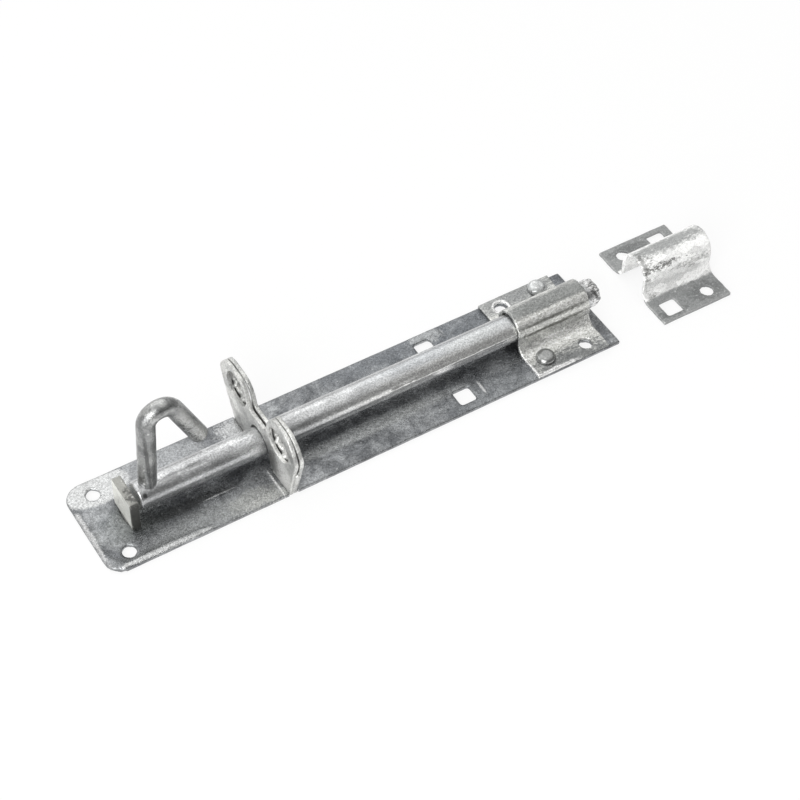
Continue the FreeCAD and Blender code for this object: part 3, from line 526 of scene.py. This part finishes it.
# %% Stop
STOP_ZONES = [
    # Painted shade: the near edge faces away from the light and is drawn dark.
    ((-107.3, -11.2, 9), (9, 3.2, 30), "#3E3E3C", 0.95, 0.02, 0.06),  # dark near edge
    ((-107.3, 0, 21), (20, 40, 3.4), "#8A8A86", 0.9, 0.3, 0.1),  # grey top edge
    # Painted shade along the foot, where the stop meets the backplate.
    ((-110, 0, 1.6), (3, 12, 1.2), "#5C5C58", 0.7, 0.6, 0.3),  # dark foot
    ((-106.6, -4, 18.2), (1.6, 3.5, 1.5), "#2E2E2E", 0.7, 5.0, 0.2),  # specks on the top edge
]
stop_zinc = galvanised("galvanised_stop", ("#DADAD4", "#ECECE6", "#F2F2EE"), STOP_ZONES,
                       cloud=18, depth=0.2, grain_depth=0.1, rough=(0.3, 0.42), edge=0.3,
                       metal=0.5, shift=3)
dip("stop_plate", stop_zinc, "mounting", voxel=0.3)

# %% [markdown]
# ## Staple
# The staple is a pair of bowed twin sheets, back to back, with two ears and a round padlock hole in
# each. Zinc fills most of the slit between them at their side edges, and clots hang in the holes,
# which look smaller and ragged. The clots are balls along an arc of each hole, on the strap-side
# sheet alone, which shows through the other's hole, and a row of lumps down its side edges fills
# the slit. Ragged holes could be cut instead, but the zinc only hangs in holes that are round.

# %% Staple
STAPLE_ZONES = [
    # Painted light: the lower part of the near ear is drawn lighter.
    ((-46, -18, 10), (4, 9, 13), "#FFFFFC", 0.95, 0.3, 0.4),  # light lower part of the near ear
    # Painted shade: the near ear is drawn darker towards the bolt.
    ((-45, -7, 9), (4, 9, 13), "#5A5A58", 0.85, 0.7, 0.5),  # darker towards the bolt
]
EYE_X, EYE_Y, EYE_Z, EYE_RADIUS = -41.3, 18.1, 27.4, 8.4
CLOT_ANGLES = (20, -10, -40, -70, -100, -130)

clots = []
for side in (-1, 1):
    arc = [(EYE_X, side * EYE_Y + EYE_RADIUS * math.cos(math.radians(a)),
            EYE_Z + EYE_RADIUS * math.sin(math.radians(a))) for a in CLOT_ANGLES]
    clots += trail(arc, count=20, radius=1.4, flat=1, seed=9, scatter=0.7, length=1)
    clots += trail([(-41.8, side * 24.2, 2.6), (-42.2, side * 28.6, 14), (-42.4, side * 30, 19)],
                   count=26, radius=1.1, flat=1, seed=14, scatter=0.15, length=1)
staple_zinc = galvanised("galvanised_staple", ("#BABBB9", "#D8D8D5", "#ECECEA"), STAPLE_ZONES,
                         cloud=9, mottle=1.8, depth=0.45, grain=0.8, rough=(0.26, 0.38),
                         relief=0.08, edge=0.0, metal=0.6, shift=7)
dip("staple_handle_side_plate", staple_zinc, "mounting", voxel=0.3)
dip("staple_strap_side_plate", staple_zinc, "mounting", voxel=0.3, lumps=clots)

# %% [markdown]
# ## Guide strap
# The strap is an arched sheet that holds the bolt down. The zinc ran along it and froze in bright
# and dark bands lengthwise, with coarse grains in the bend at its foot. The bands are long thin
# zones, and a ripple drawn out eight times along the bolt gives the sheet its shallow furrows.

# %% Guide strap
STRAP_ZONES = [
    ((101.5, -0.8, 20.6), (30, 4.6, 2.6), "#858786", 0.9, 0.6, 0.4),  # grey crown
    ((101.5, -5.4, 18.6), (24, 1.8, 1.6), "#FAFAF6", 0.9, 1.6, 0.5),  # bright band below it
    ((101.5, -7.2, 16.2), (18, 0.8, 0.8), "#5E5E58", 0.8, 1.6, 0.5),  # upper dark band
    ((101.5, -8.7, 12.4), (17, 0.9, 0.9), "#5E5E58", 0.85, 1.6, 0.5),  # lower dark band
    ((101.5, -12.8, 5.2), (24, 3.8, 3.4), "#FEFEFA", 0.9, 2.0, 0.3),  # bright grains in the bend
    ((101.5, -25, 0), (30, 9.4, 6), "#767879", 0.9, 1.2, 0.3),  # near foot
    ((101.5, 24, 0), (30, 10, 6), "#8A8C8D", 0.8, 0.8, 0.3),  # far foot
    # Painted light: a white ring stands in for the lit wall of the far screw hole.
    ((91.3, 19, 3), (4.2, 4.2, 4), "#F8F8F8", 0.9, 0.3, 0.1),  # bright ring at the far screw hole
    ((82.6, -20, 3), (0.7, 9, 4), "#FAFAFA", 0.8, 0.8, 0.3),  # bright edge towards the staple
    ((93, -25.2, 3), (11, 1.3, 4), "#F6F6F6", 0.85, 1.2, 0.3),  # bright edge of the near foot
]
strap_zinc = galvanised("galvanised_strap", ("#C0C1BF", "#E0E0DC", "#FCFCF8"), STRAP_ZONES,
                        cloud=6, mottle=1.2, depth=0.45, grain=0.9, grain_depth=0.24,
                        rough=(0.18, 0.3), relief=0.1, metal=0.8, shift=11, stretch=2.6)
dip("guide_strap", strap_zinc, "mounting", voxel=0.5, waves=0.3, wave_size=4,
    drawn_out=8)

# %% [markdown]
# ## Rivets
# Two domed rivets hold the strap. Their heads are pressed smooth, so under the zinc they shine more
# than the sheet, with a small highlight. The near one is darker than the far one, and one zone
# tells them apart, so that both share a material.

# %% Rivets
RIVET_ZONES = [
    ((90, -21, 3), (9, 8, 9), "#929392", 0.85, 0.5, 0.3),  # darker near rivet
]
rivet_zinc = galvanised("galvanised_rivets", ("#B8BABA", "#DCDDDD", "#F8F8F8"), RIVET_ZONES,
                        cloud=4, mottle=1.5, grain_depth=0.1, rough=(0.12, 0.2), relief=0.03)
dip("strap_rivets", rivet_zinc, "mounting", voxel=0.35)

# %% [markdown]
# ## Keep
# The keep is the second arched sheet, which is screwed to the door frame and takes the thrown bolt.
# It is the whitest piece, with a chalky film on the arch, grey feet, and black specks of ash near
# its open end. A row of small lumps roughens the edge of the arch that faces the bolt.

# %% Keep
KEEP_ZONES = [
    ((170, 1.8, 22), (30, 5, 3), "#8C8E8E", 0.85, 1.4, 0.4),  # grey crown
    ((161, -7.0, 17.0), (8, 0.8, 0.9), "#7A7B79", 0.7, 4.0, 0.4),  # specks below the crown
    ((152.5, -4, 18), (2.4, 5, 5), "#6E6E6C", 0.6, 5.0, 0.2),  # specks at the open end
    ((160, -7, 17), (5, 1.2, 1.4), "#6A6A68", 0.7, 6.0, 0.12),  # ash beside them
    ((168, -11, 8), (14, 1.0, 1.4), "#7A7A78", 0.6, 6.0, 0.12),  # ash on the near side
    ((154, -14, 5), (2.5, 3, 3), "#6A6A68", 0.6, 6.0, 0.12),  # ash at the near foot
    ((178, -9.5, 13), (8, 1.4, 2), "#6E6E6C", 0.6, 6.0, 0.1),  # ash at the far end
    ((170, 0, 0), (60, 120, 2.4), "#8C8E8E", 0.95, 0.3, 0.15),  # both feet
    ((158, -22, 1.6), (8, 2.6, 3), "#5C5E5E", 0.7, 2.5, 0.4),  # dark mottles on the near foot
    ((180, -19, 1.6), (9, 5, 3), "#5E6060", 0.6, 2.5, 0.4),  # dark mottles at its screw hole
    ((164, 21, 1.6), (9, 3, 3), "#5E6060", 0.65, 2.5, 0.4),  # dark mottles on the far foot
]
keep_zinc = galvanised("galvanised_keep", ("#F6F6F5", "#FEFEFD", "#FFFFFF"), KEEP_ZONES,
                       cloud=7, mottle=1.2, depth=0.3, grain=0.9, grain_depth=0.12, relief=0.1,
                       metal=0.05, shift=19, stretch=1.7)
specks = trail([(152.2, -8, 12), (151.8, -5, 18.5), (152, 2, 20), (152.4, 7, 16)],
               count=12, radius=0.7, flat=1, seed=13, length=1)
dip("keep", keep_zinc, "mounting", voxel=0.5, lumps=specks, waves=0.28, wave_size=4,
    drawn_out=5)

# %% [markdown]
# ## Bolt
# The bolt is a round bar. It shines evenly and mirrors the sky above and the dark plate below, with
# a thin run of zinc along its near side and a rough crown of frozen drops on its tip. The run and
# the drops catch the light and break the outline, so they are lumps and not bump. Some light is also
# painted into its colour: a lighter upper and lower near side, a bright reflection along the run,
# and shade in a small dent by the handle.

# %% Bolt
BOLT_ZONES = [
    # Painted light: the upper near side of the bar is drawn lighter.
    ((45, -5.8, 14.6), (56, 3, 3.6), "#F2F2F0", 0.85, 0.8, 0.4),  # light upper near side
    ((50, 0.5, 18.4), (40, 3.6, 2.4), "#B4B7BA", 0.7, 0.9, 0.4),  # greyer top
    # Painted reflection: a bright line along the near side, over the run of zinc lumps.
    ((50, -6.4, 13.2), (34, 2, 0.7), "#FAFAF8", 0.8, 0.8, 0.3),  # bright run of zinc
    ((62, -1.5, 18.2), (16, 3.4, 2.4), "#D6D8D8", 0.6, 1.4, 0.4),  # pale patch before the strap
    # Painted shade: a dark spot stands in for a small dent by the handle.
    ((-100.6, -5.0, 15.5), (0.8, 0.8, 1.2), "#3A3A3A", 0.8, 1.5, 0.4),  # dimple at the handle's end
    # Painted light: the lower near side of the bar is drawn lighter.
    ((60, -6.6, 9.5), (44, 2.2, 3), "#FFFFFF", 0.7, 0.6, 0.5),  # lighter lower near side
    ((127.5, 0, 11), (6.5, 9, 9), "#FDFDFD", 0.95, 0.4, 0.15),  # bright drops on the tip
    ((129, -2, 12), (5, 7, 7), "#4A4A4A", 0.8, 6.0, 0.2),  # dark pits between them
]
bolt_zinc = galvanised("galvanised_bolt", ("#B8B9BA", "#CCCDCE", "#E4E4E4"), BOLT_ZONES,
                       cloud=8, mottle=1.0, depth=0.32, grain=0.7, rough=(0.17, 0.27),
                       relief=0.028, shift=23, stretch=1.8)
run = trail([(20, -6.15, 13.2), (83, -6.1, 13.6)],
            count=26, radius=0.6, flat=0.8, seed=7, scatter=0.1, length=5)
drops = trail([(125.5, -5.2, 14.5), (127.6, -4, 9), (128.2, 1, 9), (127, 3.5, 15),
               (125.5, 0, 17.2), (127.6, -3.5, 14.5)],
              count=20, radius=1.5, flat=1, seed=8, scatter=0.7, length=1)
dip("bolt_bar", bolt_zinc, "bolt", voxel=0.5, lumps=run + drops, wave_size=6,
    drawn_out=3)

# %% [markdown]
# ## Handle
# The handle is a rod bent like a hairpin, with its foot riveted into the bolt. Its thin zinc shines
# more than the rest and is darker, with a pale cut end and black specks of ash in a row along the
# arm. Dark bands of painted shade run along the post, and the arm's near side is painted lighter.
# The rod needs no lumps, and a fine voxel keeps its bend round.

# %% Handle
HANDLE_ZONES = [
    ((-68.3, 0, 25.3), (9.1, 9.1, 9.1), "#B8B8B6", 0.9, 0.05, 0.04),  # cut end of the arm
    # Painted light: the near side of the arm is drawn lighter, here and by the bend.
    ((-73.5, -3.0, 35), (5, 3, 9), "#C4C4C2", 0.7, 0.8, 0.4),  # light near side of the arm
    ((-81.0, -3.0, 47), (5, 3, 9), "#C4C4C2", 0.7, 0.8, 0.4),  # the same by the bend
    # Painted shade: dark bands along the sides of the post.
    ((-97.4, -3.8, 34), (0.8, 1.3, 16), "#565656", 0.75, 0.5, 0.5),  # dark band along the post
    ((-92.4, -2.4, 34), (0.7, 2.0, 15), "#6A6A6A", 0.6, 0.5, 0.5),  # fainter band beside it
    ((-87.6, -3.2, 48.6), (2.4, 2.4, 2.8), "#4A4A48", 0.85, 2.0, 0.3),  # ash where the arm starts
    ((-82.4, -2.0, 45.6), (2.8, 2.6, 4.0), "#4A4A48", 0.7, 4.0, 0.2),  # ash along the arm
    ((-79.4, -2.0, 39.3), (2.6, 2.6, 4.2), "#4A4A48", 0.7, 4.0, 0.2),
    ((-76.8, -2.0, 33.6), (2.6, 2.6, 4.0), "#4A4A48", 0.7, 4.0, 0.2),
]
handle_zinc = galvanised("galvanised_handle", ("#8E8F8F", "#B0B1B0", "#F0F0EE"), HANDLE_ZONES,
                         cloud=7, mottle=1.1, depth=0.3, grain=0.8, grain_depth=0.12,
                         rough=(0.16, 0.24), metal=0.96, shift=29)
dip("hook_handle", handle_zinc, "handle", voxel=0.45)
